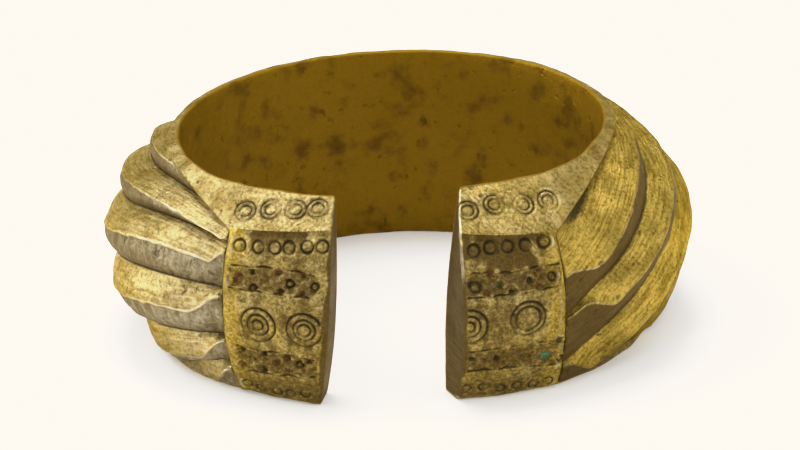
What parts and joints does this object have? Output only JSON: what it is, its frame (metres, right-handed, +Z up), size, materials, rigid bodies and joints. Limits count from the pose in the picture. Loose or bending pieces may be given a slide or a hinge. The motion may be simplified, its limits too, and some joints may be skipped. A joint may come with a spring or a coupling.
{
  "type": "penannular bracelet",
  "caption": "Heavy open oval bracelet of cast brass: twisted ribs wrap the hoop and end in flat stamped panels beside the gap.",
  "frame": {"origin": "middle of the footprint, at the surface that the lower rim stands on", "axes": "+Z up along the bore, +X across the width of the hoop, -Y towards the gap between the two end panels"},
  "size_m": [0.0808, 0.063, 0.0289],
  "materials": {
    "brass": "worn satin with brown patina and a little green corrosion in the stamps"
  },
  "bodies": {
    "root": {"bracelet": "brass"}
  },
  "joints": []
}
